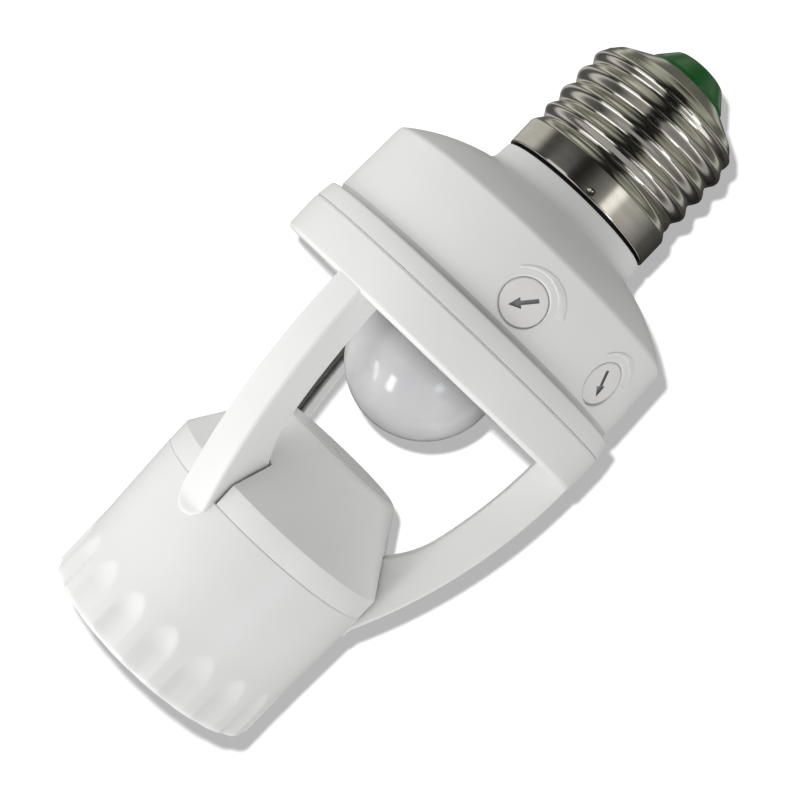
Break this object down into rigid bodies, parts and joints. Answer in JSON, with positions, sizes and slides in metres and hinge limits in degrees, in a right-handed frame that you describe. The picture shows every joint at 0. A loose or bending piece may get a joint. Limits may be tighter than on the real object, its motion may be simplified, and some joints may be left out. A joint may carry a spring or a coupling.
{
  "type": "motion sensor lamp holder",
  "caption": "Lamp holder with a screw cap at one end, a round motion sensor housing with two adjusting dials, and a fluted screw socket for a lamp, carried on bowed arms below the sensor lens.",
  "frame": {"origin": "on the axis, in the plane of the rim of the lamp socket", "axes": "+Z along the axis, from the lamp socket to the screw cap; -Y is the side with the two dials"},
  "size_m": [0.0568, 0.0568, 0.1181],
  "materials": {
    "housing": "white, smooth and slightly glossy",
    "frame": "white, smooth and slightly glossy",
    "roof": "white, smooth and slightly glossy",
    "cap_metal": "nickel plated sheet, polished",
    "insulator": "dark green, smooth",
    "tip_metal": "plain stamped sheet",
    "red_wire": "smooth wire insulation",
    "black_wire": "smooth wire insulation",
    "lens": "milky, lets light through",
    "ring": "plain moulded",
    "can_metal": "plated can",
    "sensor_window": "dark filter window",
    "cell": "clear coated cell",
    "board": "coated glass fibre board",
    "relay_blue": "moulded case",
    "film": "dipped coating",
    "sleeve": "shrunk sleeve",
    "black_resin": "moulded resin",
    "resistor_coat": "coated body",
    "pot": "moulded case",
    "rotor": "moulded",
    "dial": "white, smooth",
    "brass": "plain stamped sheet",
    "carrier": "pressed insulating disc",
    "screw_steel": "zinc plated"
  },
  "bodies": {
    "holder": {"upper_housing": "housing", "lower_frame": "frame", "socket_roof": "roof", "screw_shell": "cap_metal", "cap_insulator": "insulator", "tip_contact": "tip_metal", "tip_wire": "red_wire", "shell_wire": "black_wire", "pir_lens": "lens", "lens_ring": "ring", "pir_sensor_can": "can_metal", "pir_window": "sensor_window", "light_cell": "cell", "circuit_board": "board", "relay_case": "relay_blue", "film_capacitor": "film", "electrolytic_capacitor": "sleeve", "control_chip": "black_resin", "bridge_diodes": "black_resin", "resistors": "resistor_coat", "time_pot_body": "pot", "light_pot_body": "pot", "lamp_shell": "brass", "lamp_contact": "brass", "contact_carrier": "carrier", "contact_rivets": "brass", "live_lead": "black_wire", "neutral_lead": "black_wire", "housing_screws": "screw_steel", "carrier_screws": "screw_steel"},
    "time_knob": {"time_dial": "dial", "time_pot_rotor": "rotor"},
    "light_knob": {"light_dial": "dial", "light_pot_rotor": "rotor"}
  },
  "joints": [
    {"name": "time_dial_turn", "type": "hinge", "parent": "holder", "child": "time_knob", "pos_m": [-0.00889, -0.02483, 0.0735], "axis": [-0.3371, -0.9415, 0], "range_deg": [-288, 10]},
    {"name": "light_dial_turn", "type": "hinge", "parent": "holder", "child": "light_knob", "pos_m": [0.00889, -0.02483, 0.0735], "axis": [0.3371, -0.9415, 0], "range_deg": [0, 298]}
  ]
}
